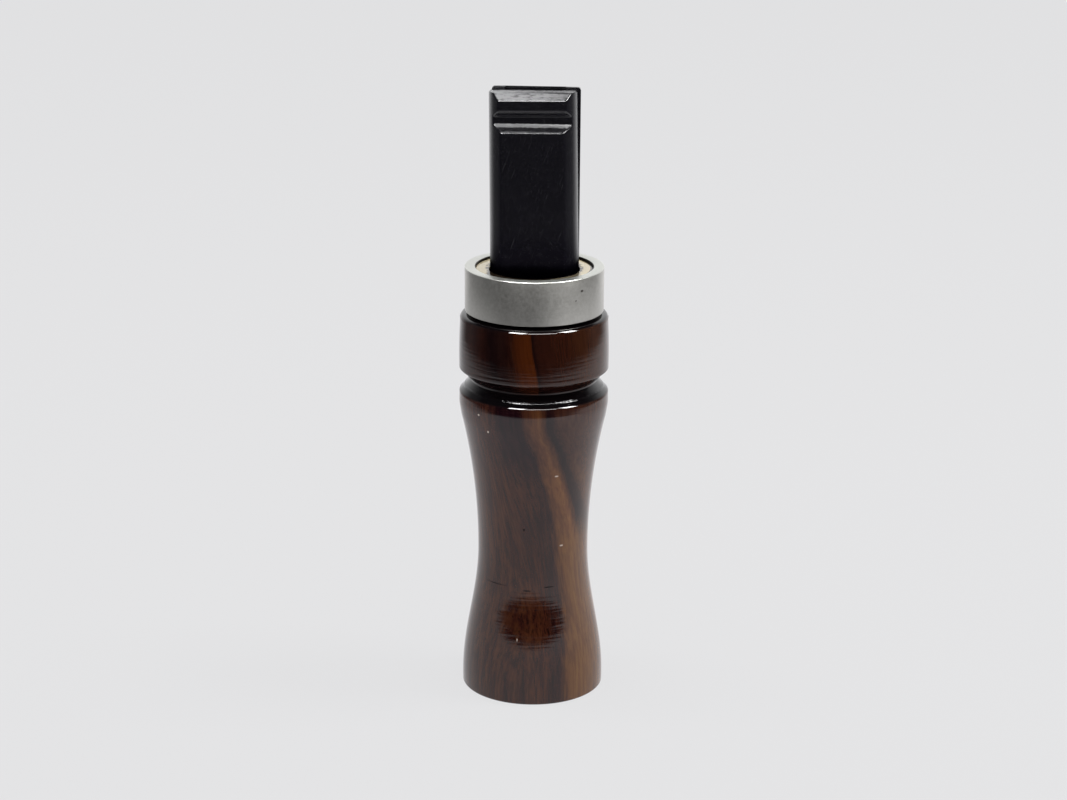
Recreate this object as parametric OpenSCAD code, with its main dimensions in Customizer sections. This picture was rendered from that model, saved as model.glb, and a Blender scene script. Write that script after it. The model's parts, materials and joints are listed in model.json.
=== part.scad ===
// Bird call: a turned wooden barrel with a metal band, and a pull-out mouthpiece
// made of two moulded halves that hold a thin reed between them.
// Millimetres. The origin is the centre of the flat foot, and +Z runs up the bore to the mouth.
// The flat that faces the caller's upper lip looks along -Y.

/* [Barrel outside] */
// Height of the wood, from the foot to the end of the tenon
barrel_len = 95.15; // [90:0.05:110]
// Diameter just above the foot
foot_d = 31.24; // [28:0.02:34]
// Rounding under the edge of the foot
foot_round = 0.5; // [0.2:0.1:1]
// Height of the straight part above the foot
foot_straight = 2; // [1:0.5:4]
// Depth of the waist, in from the lip
waist_depth = 3.98; // [2.5:0.02:5]
// Radius of the long hollow curve above the waist
flare_r = 131.6; // [115:0.2:160]
// Step from the bead in to the lip under it
lip_inset = 0.1; // [0.05:0.05:0.4]
// Height of the lip between the hollow curve and the bead
lip_h = 3.5; // [1:0.1:5.5]
// Step from the collar's lower corner in to the bead
bead_inset = 0.05; // [0:0.05:0.5]
// Radius of the bead's edge
bead_round = 0.5; // [0.4:0.1:1.6]

/* [Lanyard groove] */
// Distance from the end of the wood down to the lower edge of the groove's floor
groove_drop = 24.45; // [23:0.05:26]
// Depth of the groove, in from the bead
groove_depth = 2.5; // [1.5:0.1:3.5]
// Width of the groove's flat floor
groove_floor_w = 0.35; // [0.2:0.05:1.5]
// Slope of the groove's lower wall, from the axis
groove_low_slope = 44; // [40:1:55]
// Slope of the groove's upper wall, from the axis
groove_top_slope = 48; // [40:1:55]

/* [Collar of the barrel] */
// Width of the shoulder, from the tenon to the collar's side
shoulder_w = 3.35; // [2.5:0.05:4.5]
// Height by which the collar's side stands out further at the groove than at the shoulder
collar_taper = 0.25; // [0:0.05:1]
// Height by which the collar's side bulges in its middle
collar_bulge = 0.1; // [0:0.02:0.4]
// Rounding of the collar's lower corner
collar_corner = 0.5; // [0.2:0.1:0.8]
// Rounding of the shoulder under the band
shoulder_round = 0.8; // [0.5:0.1:1.4]
// Slope of the shoulder outside the band's seat
shoulder_slope = 16; // [5:1:25]
// Width of the flat seat under the band
seat_w = 0.3; // [0.2:0.05:1]
// Length of the tenon that carries the band
tenon_len = 9.15; // [8:0.05:10]
// Diameter of the tenon
tenon_d = 25.4; // [24.8:0.1:26]

/* [Bores] */
// Clearance all round between the socket and the mouthpiece's stem
socket_fit = 0.07; // [0.03:0.01:0.1]
// Depth of the socket, from the end of the tenon
socket_depth = 24.45; // [23:0.05:28]
// Chamfer at the mouth of the socket
socket_chamfer = 0.5; // [0.2:0.05:1]
// Diameter of the sound bore
bore_d = 14; // [12:0.5:15]
// Diameter of the bell at the foot
bell_d = 21; // [18:0.5:24]
// Depth of the bell's flare
bell_depth = 14; // [10:1:20]

/* [Metal band] */
// Outside diameter of the band
band_d = 30; // [28.5:0.1:30.5]
// Height of the band
band_h = 9.65; // [9:0.05:10.5]
// Chamfer on the band's edges
band_chamfer = 0.25; // [0.1:0.05:0.5]
// Clearance all round between the band and the tenon
band_fit = 0.03; // [0:0.01:0.1]

/* [Mouthpiece outside] */
// Diameter of the round stem, and width of the blade
stem_d = 19.05; // [18:0.05:19.5]
// Thickness of the blade across its two flats
blade_t = 13.6; // [12.8:0.1:14.5]
// Length of the front half's blade, above the wood
blade_len = 38.61; // [34:0.01:44]
// Depth of the blade's flats below the end of the wood
flat_sink = 1.05; // [0.2:0.05:2]
// Height by which the rear half's tip stands above the front one's
rear_tip_rise = 0.56; // [0.2:0.02:1]
// Angle by which the front half's blade leans to one side
front_lean = 0.65; // [0:0.05:0.8]
// Angle by which the rear half's blade leans to the other side
rear_lean = 0.25; // [0:0.05:0.4]
// Narrowing of each blade's half width from its root to its tip
side_draft = 0.13; // [0:0.01:0.3]
// Rounding of the blade's top corners
tip_round = 0.7; // [0.3:0.1:1.5]
// Chamfer along the joint between the halves
parting_chamfer = 0.15; // [0.1:0.05:0.3]
// Length of the stem inside the socket
stem_len = 22.95; // [21:0.05:23.5]
// Chamfer that leads the stem into its socket
stem_lead = 0.6; // [0.3:0.1:1]

/* [Bite marks] */
// Thickness of the tip above the bite groove, across its two flats
tip_t = 12.3; // [11:0.1:13]
// Depth of the front tip's bevel
bevel_depth = 1.58; // [0.5:0.02:2]
// Height of the front tip's bevel
bevel_h = 1.4; // [1:0.05:2.5]
// Depth of the rear tip's bevel
rear_bevel_depth = 5.25; // [2:0.05:5.5]
// Height of the rear tip's bevel
rear_bevel_h = 2.6; // [1.5:0.1:3]
// Distance from the tip to the start of the bite groove
bite_start = 3.36; // [2.8:0.02:5]
// Height of the bite groove's upper slope
bite_fall = 1.81; // [1:0.01:3]
// Height of the bite groove's floor
bite_floor = 1.34; // [0.5:0.02:3]
// Height of the bite groove's lower ledge
bite_rise = 1.76; // [1:0.02:3]
// Depth of the bite groove, below the blade's flat
bite_depth = 2.2; // [1:0.1:2.6]

/* [Reed and air way] */
// Width of the reed
reed_w = 12.4; // [11:0.1:13]
// Thickness of the reed
reed_t = 0.36; // [0.2:0.02:0.5]
// Distance from the front tip down to the reed's tip
reed_tip_drop = 1.2; // [0.5:0.1:3]
// Distance from the stem's end up to the reed's root
reed_root_rise = 0.6; // [0.3:0.1:1.5]
// Rounding of the reed's corners
reed_round = 1.5; // [0.5:0.1:3]
// Clearance between the reed and each clamping pad
clamp_fit = 0.03; // [0.02:0.01:0.1]
// Height of the clamping pads
clamp_h = 4; // [3:0.5:6]
// Gap between the reed and each half at the tip
lay_gap = 0.55; // [0.5:0.05:0.8]
// Width of the air trough in each half
trough_w = 8; // [6:0.2:9]
// Depth of the air trough from the joint
trough_depth = 4.2; // [3:0.1:4.6]
// Distance from the tip to where the trough starts
trough_start = 9; // [6:0.5:14]
// Height over which the trough reaches its full depth
trough_fall = 13; // [8:1:16]

/* [Pegs] */
// Diameter of the moulded pegs
peg_d = 1.4; // [1:0.1:1.6]
// Reach of a peg past the joint
peg_reach = 1.2; // [0.8:0.1:1.6]
// Clearance all round between a peg and its hole
peg_fit = 0.1; // [0.05:0.05:0.2]
// Distance from the tip to the two pegs of the blade
blade_peg_drop = 16; // [12:1:24]

/* [Sealing rings] */
// Thickness of the rubber of each ring
ring_t = 1.6; // [1.4:0.05:1.8]
// Clearance between a ring and what it lies against
ring_fit = 0.05; // [0.02:0.01:0.1]
// Depth of the upper ring's middle below the end of the wood
upper_ring_drop = 4.95; // [3:0.05:6]
// Distance between the middles of the two rings
ring_spacing = 9; // [6:0.5:10]

/* [Hidden] */

// Every cut runs this far past the face that it opens.
overrun = 1;
// The two halves stay this far apart where their faces meet.
halves_gap = 0.04;
// Room beside the reed, on each side.
reed_side_fit = 0.2;

// Diameters of the barrel, from the tenon down
collar_top_d = tenon_d + 2 * shoulder_w;
collar_low_d = collar_top_d + 2 * collar_taper;
bead_d = collar_low_d - 2 * bead_inset;
groove_d = bead_d - 2 * groove_depth;
lip_d = bead_d - 2 * lip_inset;
waist_d = lip_d - 2 * waist_depth;

// Heights of the barrel
shoulder_z = barrel_len - tenon_len;
socket_z = barrel_len - socket_depth;
groove_z = barrel_len - groove_drop;
groove_top_z = groove_z + groove_floor_w;

// Heights of the mouthpiece
ring_r = ring_t / 2;
stem_z = barrel_len - stem_len;
blade_z = barrel_len - flat_sink;
tip_z = barrel_len + blade_len;
rear_tip_z = tip_z + rear_tip_rise;
clamp_mid_z = stem_z + reed_root_rise + clamp_h / 2;
blade_peg_z = tip_z - blade_peg_drop;
upper_ring_z = barrel_len - upper_ring_drop;
lower_ring_z = upper_ring_z - ring_spacing;

// Radii of the stem, the socket and the rings
stem_r = stem_d / 2;
socket_r = stem_r + socket_fit;
ring_mid_r = socket_r - ring_fit - ring_r;
ring_groove_r = ring_mid_r - ring_r - ring_fit;

// Across the mouthpiece
flat_y = blade_t / 2;
land_y = tip_t / 2;
dip_y = flat_y - bite_depth;
tip_r = stem_r - side_draft;
draft_angle = atan(side_draft / (tip_z - blade_z));
reed_room = reed_w / 2 + reed_side_fit;
rail_x = (trough_w + reed_w) / 4;
side_peg_x = (reed_room + stem_r) / 2;

// Points per curve
curve_steps = 24;
short_steps = 8;
arc_steps = 6;

// Points of an arc in a turned outline, as [radius, height], from angle a to angle b.
function arc(r, z, size, a, b, steps = arc_steps) =
    [for (i = [0:steps]) let (t = a + (b - a) * i / steps) [r + size * cos(t), z + size * sin(t)]];

// A share that runs from 0 to 1 along an S.
function s_share(t) = (1 - cos(180 * t)) / 2;

// An S-shaped run of points from p to q whose ends stand along the second axis.
function s_run(p, q, steps = short_steps) =
    [for (i = [0:steps]) [p[0] + (q[0] - p[0]) * s_share(i / steps), p[1] + (q[1] - p[1]) * i / steps]];

// The bead's round edge leads into the groove's lower wall.
bead_r = bead_d / 2 - bead_round;
bead_low_angle = acos((lip_d / 2 - bead_r) / bead_round);
bead_z = groove_z - bead_round * sin(groove_low_slope)
    - (bead_r + bead_round * cos(groove_low_slope) - groove_d / 2) / tan(groove_low_slope);

// The hollow above the waist is an arc that reaches the lip's radius at flare_top_z.
flare_top_z = bead_z - bead_round * sin(bead_low_angle) - lip_h;
waist_z = flare_top_z - sqrt(2 * flare_r * waist_depth - pow(waist_depth, 2));

// The groove's upper wall leads into the collar's rounded corner.
corner_r = collar_low_d / 2 - collar_corner;
corner_z = groove_top_z + collar_corner * sin(groove_top_slope)
    + (corner_r + collar_corner * cos(groove_top_slope) - groove_d / 2) / tan(groove_top_slope);

// The collar's side bulges a little between its corner and the shoulder's rounding.
shoulder_mid_r = collar_top_d / 2 - shoulder_round;
seat_r = tenon_d / 2 + seat_w;
shoulder_mid_z = shoulder_z - shoulder_round * cos(shoulder_slope)
    - (shoulder_mid_r + shoulder_round * sin(shoulder_slope) - seat_r) * tan(shoulder_slope);
collar_side = [for (i = [1:short_steps - 1]) let (t = i / short_steps)
    [(collar_low_d + (collar_top_d - collar_low_d) * t) / 2 + 4 * collar_bulge * t * (1 - t),
     corner_z + (shoulder_mid_z - corner_z) * t]];

outside = concat(
    arc(foot_d / 2 - foot_round, foot_round, foot_round, -90, 0),
    s_run([foot_d / 2, foot_straight], [waist_d / 2, waist_z], curve_steps),
    [for (i = [1:curve_steps]) let (h = (flare_top_z - waist_z) * i / curve_steps)
        [waist_d / 2 + flare_r - sqrt(pow(flare_r, 2) - pow(h, 2)), waist_z + h]],
    arc(bead_r, bead_z, bead_round, -bead_low_angle, groove_low_slope),
    [[groove_d / 2, groove_z], [groove_d / 2, groove_top_z]],
    arc(corner_r, corner_z, collar_corner, -groove_top_slope, 0),
    collar_side,
    arc(shoulder_mid_r, shoulder_mid_z, shoulder_round, 0, 90 - shoulder_slope),
    [[seat_r, shoulder_z], [tenon_d / 2, shoulder_z], [tenon_d / 2, barrel_len]]);

inside = concat(
    [[socket_r + socket_chamfer, barrel_len], [socket_r, barrel_len - socket_chamfer]],
    [[socket_r, socket_z], [bore_d / 2, socket_z]],
    [for (p = arc(0, 0, 1, 0, 90, short_steps))
        [bore_d / 2 + (bell_d - bore_d) / 2 * (1 - p[0]), bell_depth * (1 - p[1])]]);

// The turned wood, with its bell, sound bore and socket.
module barrel() {
    color("saddlebrown") rotate_extrude($fn = 96) polygon(concat(outside, inside));
}

// The metal band that keeps the tenon from splitting.
module band() {
    outer = band_d / 2;
    inner = tenon_d / 2 + band_fit;
    color("silver") translate([0, 0, shoulder_z]) rotate_extrude($fn = 96) polygon([
        [inner, 0], [outer - band_chamfer, 0], [outer, band_chamfer],
        [outer, band_h - band_chamfer], [outer - band_chamfer, band_h], [inner, band_h]]);
}

// One half seen from its side, as [distance from the joint, height]: bite groove and bevelled tip.
function half_side(top, bevel, bevel_rise) = let (
    start = tip_z - bite_start,
    floor_top = start - bite_fall,
    floor_low = floor_top - bite_floor,
    ledge = floor_low - bite_rise)
    concat(
        [[0, blade_z], [flat_y, blade_z]],
        s_run([flat_y, ledge], [dip_y, floor_low]),
        s_run([dip_y, floor_top], [land_y, start]),
        [[land_y, top - bevel_rise], [land_y - bevel, top], [0, top]]);

// The tip seen from the front, with its two rounded corners.
module blade_front(top) {
    wide = stem_r + overrun;
    x = tip_r - tip_round + side_draft * tip_round / (top - blade_z);
    polygon(concat(
        [[-wide, blade_z], [wide, blade_z]],
        arc(x, top - tip_round, tip_round, 0, 90),
        arc(-x, top - tip_round, tip_round, 90, 180)));
}

// Lays an outline of [distance from the joint, height] across the mouthpiece, of the given width.
module across(width) {
    translate([-width / 2, 0, 0]) rotate([90, 0, 90]) linear_extrude(width) children();
}

// Stands an outline of [side, height] up and gives it depth on both sides of the joint.
module upright(depth) {
    translate([0, depth / 2, 0]) rotate([90, 0, 0]) linear_extrude(depth) children();
}

// The blade of one half, on the +Y side of the joint: the stem's round, cut to a flat.
module half_blade(top, bevel, bevel_rise) {
    intersection() {
        translate([0, 0, blade_z]) cylinder(r1 = stem_r, r2 = tip_r, h = top - blade_z, $fn = 96);
        across(stem_d) polygon(half_side(top, bevel, bevel_rise));
        upright(2 * blade_t) blade_front(top);
    }
}

// The round stem below the blade, whole, with a groove for each ring.
module stem() {
    difference() {
        rotate_extrude($fn = 96) polygon([
            [0, stem_z], [stem_r - stem_lead, stem_z], [stem_r, stem_z + stem_lead],
            [stem_r, blade_z], [0, blade_z]]);
        for (z = [upper_ring_z, lower_ring_z]) translate([0, 0, z - ring_r - ring_fit]) difference() {
            cylinder(r = stem_r + overrun, h = ring_t + 2 * ring_fit, $fn = 96);
            translate([0, 0, -overrun]) cylinder(r = ring_groove_r, h = ring_t + 2 * (ring_fit + overrun), $fn = 96);
        }
    }
}

// The room for the reed: clamped at its root, and wider towards the tip.
module reed_way() {
    pad = reed_t / 2 + clamp_fit;
    clamp_top = clamp_mid_z + clamp_h / 2;
    // The lay is a straight ramp that goes on past the tip.
    past = rear_tip_rise + overrun;
    slope = (lay_gap - clamp_fit) / (tip_z - clamp_top);
    across(2 * reed_room) polygon([
        [-overrun, stem_z - overrun], [pad, stem_z - overrun], [pad, clamp_top],
        [pad + slope * (tip_z + past - clamp_top), tip_z + past], [-overrun, tip_z + past]]);
}

// The trough that carries the breath, from below the tip to the stem's end.
module trough() {
    deep_z = tip_z - trough_start - trough_fall;
    mid_y = trough_depth - trough_w / 2;
    intersection() {
        across(trough_w) polygon(concat(
            [[-overrun, stem_z - overrun], [trough_depth, stem_z - overrun]],
            s_run([trough_depth, deep_z], [0, tip_z - trough_start]),
            [[-overrun, tip_z - trough_start]]));
        translate([0, 0, stem_z - overrun]) linear_extrude(tip_z - stem_z + overrun) union() {
            translate([0, mid_y]) circle(d = trough_w, $fn = 48);
            translate([-trough_w / 2, -overrun]) square([trough_w, overrun + mid_y]);
        }
    }
}

// Places where a peg crosses the joint, as [side, height].
peg_places = [
    [-rail_x, clamp_mid_z], [rail_x, clamp_mid_z],
    [-side_peg_x, blade_peg_z], [side_peg_x, blade_peg_z]];

// Pegs, or the holes for them, standing along Y from low to high across the joint.
module pegs(size, low, high) {
    for (place = peg_places) translate([place[0], high, place[1]])
        rotate([90, 0, 0]) cylinder(d = size, h = high - low, $fn = 24);
}

// One half on the +Y side of the joint: blade, half stem, reed room and trough.
module half_body(top, bevel, bevel_rise, lean) {
    size = 2 * stem_d;
    difference() {
        union() {
            translate([0, 0, blade_z]) rotate([0, lean, 0]) translate([0, 0, -blade_z])
                half_blade(top, bevel, bevel_rise);
            stem();
        }
        translate([-size / 2, halves_gap / 2 - size, stem_z - overrun])
            cube([size, size, top - stem_z + 2 * overrun]);
        reed_way();
        trough();
        for (side = [-1, 1])
            translate([0, 0, blade_z]) rotate([0, lean, 0]) translate([side * stem_r, 0, 0])
                rotate([0, -side * draft_angle, 0]) rotate([0, 0, 45])
                translate([-parting_chamfer, -parting_chamfer, 0])
                    cube([2 * parting_chamfer, 2 * parting_chamfer, top - blade_z + overrun]);
    }
}

// The half that faces the caller's upper lip. Its pegs hold the reed and meet the other half.
module front_half() {
    color("#1a1a1c") {
        rotate([0, 0, 180]) half_body(tip_z, bevel_depth, bevel_h, front_lean);
        pegs(peg_d, -peg_reach, peg_reach);
    }
}

// The half behind the reed, with a hole for each peg.
module rear_half() {
    color("#141416") difference() {
        half_body(rear_tip_z, rear_bevel_depth, rear_bevel_h, rear_lean);
        pegs(peg_d + 2 * peg_fit, -overrun, peg_reach + peg_fit);
    }
}

// The thin tongue that sounds, with two holes at its root.
module reed() {
    low = stem_z + reed_root_rise;
    high = tip_z - reed_tip_drop;
    x = reed_w / 2;
    color("#202024") difference() {
        upright(reed_t) polygon(concat(
            [[-x, low], [x, low]],
            arc(x - reed_round, high - reed_round, reed_round, 0, 90),
            arc(reed_round - x, high - reed_round, reed_round, 90, 180)));
        pegs(peg_d + 2 * peg_fit, -overrun, overrun);
    }
}

// A rubber ring of round section, at the given height on the stem.
module sealing_ring(height) {
    color("#0d0d0d") translate([0, 0, height]) rotate_extrude($fn = 96)
        translate([ring_mid_r, 0]) circle(r = ring_r, $fn = 32);
}
module upper_ring() { sealing_ring(upper_ring_z); }
module lower_ring() { sealing_ring(lower_ring_z); }

barrel();
band();
front_half();
rear_half();
reed();
upper_ring();
lower_ring();
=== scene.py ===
# %% [markdown]
# # A bird call, dressed for its picture
#
# The call is a turned wooden barrel with a metal band, and a black moulded mouthpiece that pulls out of
# it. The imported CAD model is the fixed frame, in metres, and every visible piece here is built round it.
# Sizes are written in millimetres, as on a turner's drawing, and each mesh is scaled once at the end.

# %% Load the frame
import json
import math

import bmesh
import bpy
from mathutils import Matrix, Vector

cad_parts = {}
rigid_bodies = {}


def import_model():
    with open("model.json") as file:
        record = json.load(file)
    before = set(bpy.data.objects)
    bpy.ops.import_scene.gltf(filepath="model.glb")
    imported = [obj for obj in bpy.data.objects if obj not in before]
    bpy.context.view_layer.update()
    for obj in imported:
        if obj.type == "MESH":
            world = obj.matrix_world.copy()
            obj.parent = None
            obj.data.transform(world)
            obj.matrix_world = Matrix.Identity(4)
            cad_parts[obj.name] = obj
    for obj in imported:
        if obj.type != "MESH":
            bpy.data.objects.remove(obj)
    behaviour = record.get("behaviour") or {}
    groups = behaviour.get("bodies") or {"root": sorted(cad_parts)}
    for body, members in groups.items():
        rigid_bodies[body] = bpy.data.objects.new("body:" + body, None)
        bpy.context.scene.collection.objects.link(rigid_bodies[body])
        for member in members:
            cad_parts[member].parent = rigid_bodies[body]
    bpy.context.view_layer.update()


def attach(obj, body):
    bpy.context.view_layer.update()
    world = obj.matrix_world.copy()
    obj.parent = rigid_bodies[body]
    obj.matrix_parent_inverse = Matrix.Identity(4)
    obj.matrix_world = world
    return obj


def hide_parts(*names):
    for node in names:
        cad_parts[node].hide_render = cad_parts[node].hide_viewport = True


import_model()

MM = 0.001

# %% [markdown]
# ## The camera
#
# The photograph is a product shot through a long lens from a little above. The ellipses of the band and
# of the foot, and the lean of the outline, give the lens, the height and the distance. A camera could
# also be aimed with a constraint, but plain turns keep its small roll exact.

# %% Place the camera
AROUND = math.radians(3.0)
PITCH = math.radians(17.072)
ROLL = math.radians(0.323)
FAR, HIGH, ASIDE = 525.45 * MM, 226.81 * MM, -0.051 * MM

lens = bpy.data.cameras.new("photo_camera")
lens.lens, lens.sensor_width = 85, 36
camera = bpy.data.objects.new("photo_camera", lens)
bpy.context.scene.collection.objects.link(camera)
bpy.context.scene.camera = camera
around = Matrix.Rotation(AROUND, 4, "Z")
aim = around @ Matrix.Rotation(math.pi / 2 - PITCH, 4, "X") @ Matrix.Rotation(ROLL, 4, "Z")
camera.location = around @ Vector((ASIDE, -FAR, HIGH))
camera.rotation_euler = aim.to_euler()
bpy.context.scene.view_settings.view_transform = "Standard"
print("camera at", [round(v, 4) for v in camera.location])

# %% [markdown]
# ## A small kit for finishes
#
# A finish is a tree of nodes. These helpers add one node at a time and join it to what feeds it, so that
# a finish reads as a recipe. Patterns read Object coordinates, turned into millimetres.

# %% Helpers that add and join nodes
def new_finish(name):
    finish = bpy.data.materials.new(name)
    finish.use_nodes = True
    tree = finish.node_tree
    return finish, tree, tree.nodes["Principled BSDF"]


def feed(tree, node, inputs):
    """Fills in a node's inputs: a socket is linked, and a plain value is set."""
    for name, value in inputs.items():
        if isinstance(value, bpy.types.NodeSocket):
            tree.links.new(value, node.inputs[name])
        else:
            node.inputs[name].default_value = value


def add(tree, kind, inputs=None, **settings):
    node = tree.nodes.new("ShaderNode" + kind)
    for name, value in settings.items():
        setattr(node, name, value)
    feed(tree, node, inputs or {})
    return node


def place_mm(tree):
    """Object coordinates in millimetres."""
    spot = add(tree, "TexCoord").outputs["Object"]
    return add(tree, "Mapping", {"Vector": spot, "Scale": (1 / MM, 1 / MM, 1 / MM)}).outputs[0]


def apart(tree, vector):
    return add(tree, "SeparateXYZ", {0: vector}).outputs


def join(tree, x, y, z):
    return add(tree, "CombineXYZ", {0: x, 1: y, 2: z}).outputs[0]


print("node helpers ready")

# %% Helpers for sums
# A Math node always has a second socket, also where its sum needs only one value.
UNUSED = 0.0


def calc(tree, operation, first, *others):
    """Works on two values, and carries on over any more."""
    for value in others:
        first = add(tree, "Math", {0: first, 1: value}, operation=operation).outputs[0]
    return first


def plus(tree, *values):
    return calc(tree, "ADD", *values)


def minus(tree, a, b):
    return calc(tree, "SUBTRACT", a, b)


def times(tree, *values):
    return calc(tree, "MULTIPLY", *values)


def most(tree, *values):
    """The greatest value, which lays masks over each other."""
    return calc(tree, "MAXIMUM", *values)


def ratio(tree, a, b):
    return calc(tree, "DIVIDE", a, b)


def square(tree, value):
    return calc(tree, "POWER", value, 2.0)


def span(tree, value, low, high, out_low=0.0, out_high=1.0):
    """Runs smoothly from out_low to out_high while value runs from low to high."""
    return add(tree, "MapRange", {"Value": value, "From Min": low, "From Max": high, "To Min": out_low,
                                  "To Max": out_high}, interpolation_type="SMOOTHSTEP").outputs[0]


def axis_distance(tree, x, y):
    """Distance from the upright axis."""
    return calc(tree, "SQRT", plus(tree, square(tree, x), square(tree, y)), UNUSED)


def off_middle(tree, x):
    return calc(tree, "ABSOLUTE", x, UNUSED)


def on_front(tree, y):
    return calc(tree, "LESS_THAN", y, 0.0)


def on_back(tree, y):
    return calc(tree, "GREATER_THAN", y, 0.0)


print("sum helpers ready")

# %% Helpers for patterns
def cloud(tree, where, size, detail=3.0, rough=0.5):
    """A cloudy pattern whose lumps are about size millimetres across."""
    return add(tree, "TexNoise", {"Vector": where, "Scale": 1 / size, "Detail": detail,
                                  "Roughness": rough}).outputs[0]


def drawn(tree, x, y, z, size, shorten, detail=3.0, rough=0.55):
    """A cloudy pattern drawn out along z."""
    return cloud(tree, join(tree, x, y, times(tree, z, shorten)), size, detail, rough)


def swing(tree, pattern, reach):
    """A pattern of 0 to 1, moved to swing about zero."""
    return times(tree, minus(tree, pattern, 0.5), reach)


def tint(tree, share, first, second):
    """The first colour where share is 0, and the second where it is 1."""
    ends = [c if isinstance(c, bpy.types.NodeSocket) else (*c, 1) for c in (first, second)]
    return add(tree, "Mix", {0: share, 6: ends[0], 7: ends[1]}, data_type="RGBA").outputs[2]


def relief(tree, height, depth):
    """A bump whose full height is depth millimetres."""
    return add(tree, "Bump", {"Height": height, "Distance": depth * MM, "Strength": 1.0}).outputs[0]


print("pattern helpers ready")

# %% [markdown]
# ## The studio
#
# The real call stood on a round white disc in a dark room, with strip lamps over it and a pale backdrop
# behind. Its lacquer shows all of that, so the disc, the dark beyond it and the lamps are needed as much
# as the wood is. A disc, a backdrop and black cards could be modelled. Here one big floor does it: by
# Light Path it looks white to the camera, with a faint shadow, and its reflection has the disc's shape.

# %% Helpers for the studio
PALE = (0.775, 0.775, 0.785)
DARK = (0.012, 0.012, 0.014)
SIDE_GLOW = 0.11
MIRRORED = ("Is Glossy Ray", "Is Transmission Ray")


def shown_to(tree, *kinds):
    """1 for the kinds of ray that are named."""
    path = add(tree, "LightPath")
    return most(tree, *(path.outputs[kind] for kind in kinds))


def behind(tree, x, y):
    """How bright the room is in a direction: pale behind the call, dim at its sides and dark in front."""
    away = axis_distance(tree, x, y)
    towards_back, towards_right = ratio(tree, y, away), ratio(tree, x, away)
    pale = times(tree, span(tree, towards_back, 0.50, 0.95),
                 span(tree, towards_right, -0.5, 0.5, 0.86, 1.02))
    return plus(tree, pale, times(tree, span(tree, towards_back, -0.2, 0.3), SIDE_GLOW))


def as_object(name, bm, finish):
    """Makes an object of the scene out of a bmesh, with one finish."""
    mesh = bpy.data.meshes.new(name)
    bm.to_mesh(mesh)
    bm.free()
    mesh.materials.append(finish)
    made = bpy.data.objects.new(name, mesh)
    bpy.context.scene.collection.objects.link(made)
    return made


print("studio helpers ready")

# %% Lay the floor
DISC_MIDDLE, DISC_R = (15.0, 72.0), 320.0
FADE_INSIDE, FADE_OUTSIDE = 55.0, 15.0
SHADOW_SHARE = 0.1
FLOOR_HALF = 4000 * MM


def paper():
    finish, tree, shader = new_finish("white_paper")
    feed(tree, shader, {"Base Color": (0.8, 0.8, 0.8, 1), "Roughness": 1.0, "Specular IOR Level": 0.0})
    x, y, _ = apart(tree, place_mm(tree))
    from_disc = axis_distance(tree, minus(tree, x, DISC_MIDDLE[0]), minus(tree, y, DISC_MIDDLE[1]))
    disc = span(tree, from_disc, DISC_R - FADE_INSIDE, DISC_R + FADE_OUTSIDE, 1.0, 0.0)
    sides = times(tree, span(tree, x, 0.0, 200.0, 0.81, 1.12),
                  span(tree, off_middle(tree, x), 160.0, 240.0, 1.0, 0.74))
    lit = most(tree, times(tree, disc, sides), behind(tree, x, y))
    in_gloss = shown_to(tree, *MIRRORED)
    look = tint(tree, in_gloss, PALE, tint(tree, lit, DARK, (1.0, 1.0, 1.02)))
    glow = add(tree, "Emission", {"Color": look, "Strength": 1.0})
    seen = shown_to(tree, "Is Camera Ray", *MIRRORED)
    share = times(tree, seen, plus(tree, 1 - SHADOW_SHARE, times(tree, in_gloss, SHADOW_SHARE)))
    both = add(tree, "MixShader", {0: share, 1: shader.outputs[0], 2: glow.outputs[0]})
    feed(tree, tree.nodes["Material Output"], {"Surface": both.outputs[0]})
    return finish


def flat_sheet(name, half_side, finish):
    bm = bmesh.new()
    bmesh.ops.create_grid(bm, x_segments=1, y_segments=1, size=half_side)
    sheet = as_object(name, bm, finish)
    return sheet


floor = flat_sheet("floor", FLOOR_HALF, paper())
print("floor", [round(v, 2) for v in floor.dimensions])

# %% [markdown]
# ## The room
#
# The world stands for the pale wall behind and at the sides. In front, round the camera, it is dark,
# which is why the flat of the mouthpiece looks black. Card walls could be set up, but a world takes no
# room and is never in the way of another view. Its soft light reaches only rough surfaces, and is even
# enough to keep colours as they are written.

# %% Paint the room
DIM_WALL, PALE_WALL = (0.03, 0.03, 0.034), (1.0, 1.0, 1.01)
SOFT_LIGHT = (0.62, 0.62, 0.63)

world = bpy.data.worlds.new("room")
bpy.context.scene.world = world
world.use_nodes = True
sky = world.node_tree
right, back, up = apart(sky, add(sky, "TexCoord").outputs["Generated"])
backdrop = times(sky, behind(sky, right, back), span(sky, up, 0.5, 0.66, 1.0, 0.0))
wall = tint(sky, backdrop, DIM_WALL, PALE_WALL)
light = tint(sky, shown_to(sky, *MIRRORED), SOFT_LIGHT, wall)
feed(sky, sky.nodes["Background"], {"Color": tint(sky, shown_to(sky, "Is Camera Ray"), light, PALE)})
print("room painted, nodes:", len(sky.nodes))

# %% [markdown]
# ## The lamps
#
# The real lacquer shows its lamps as short bright lines on the shoulder, on the ridge of the groove and
# on the bulge. Glowing cards could make them. Area lamps are simpler, and here three are seen only in
# gloss, while two others only light rough surfaces. So the shine and the colours can be set one at a
# time.

# %% Hang the lamps
CALL_MIDDLE = Vector((0, 0, 0.09))


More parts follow.
